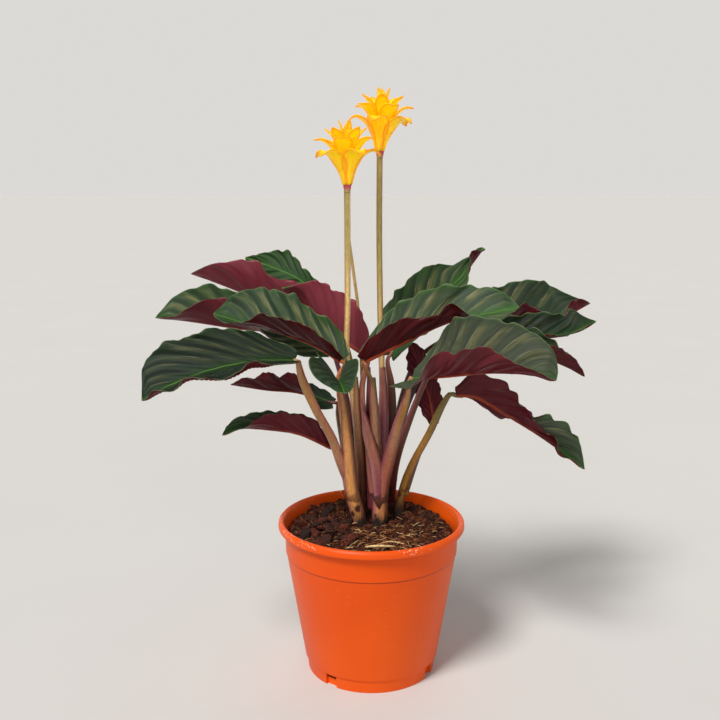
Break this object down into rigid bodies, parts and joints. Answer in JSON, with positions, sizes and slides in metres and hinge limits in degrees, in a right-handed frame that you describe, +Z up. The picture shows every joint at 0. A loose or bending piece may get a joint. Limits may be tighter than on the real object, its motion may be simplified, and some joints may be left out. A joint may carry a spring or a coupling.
{
  "type": "potted flowering foliage plant",
  "caption": "Potted prayer plant with arching two-tone leaves and upright flame-coloured flower heads, in a plain nursery pot of soil.",
  "frame": {"origin": "centre of the pot's underside, on the surface the pot stands on", "axes": "+Z up the pot's axis, -Y towards the plant's front, +X to the right seen from the front"},
  "size_m": [0.3166, 0.1678, 0.4003],
  "materials": {
    "pot": "satin orange terracotta plastic, lightly scuffed",
    "soil": "rough dark peat with bark chips",
    "leaf": "satin dark green with silvery bands above, burgundy beneath",
    "leaf_stalk": "satin tan to mauve",
    "flower_stalk": "satin yellow-tan",
    "bract": "waxy flame yellow to orange"
  },
  "bodies": {
    "root": {"pot": "pot", "soil": "soil", "shoot_left": "leaf_stalk", "shoot_middle": "leaf_stalk", "shoot_right": "leaf_stalk", "shoot_back_left": "leaf_stalk", "shoot_back_right": "leaf_stalk", "flower_stalk_left": "flower_stalk", "flower_stalk_right": "flower_stalk", "leaf_left_low": "leaf", "leaf_left_long": "leaf", "leaf_left_front": "leaf", "leaf_left_high": "leaf", "leaf_back_left": "leaf", "leaf_centre": "leaf", "leaf_left_shaded": "leaf", "leaf_left_lowest": "leaf", "leaf_small": "leaf", "leaf_right_high": "leaf", "leaf_right_upright": "leaf", "leaf_right_back": "leaf", "leaf_right_shaded": "leaf", "leaf_right_front": "leaf", "leaf_right_middle": "leaf", "leaf_right_low": "leaf", "leaf_right_lowest": "leaf", "flower_left": "bract", "flower_right": "bract"}
  },
  "joints": []
}
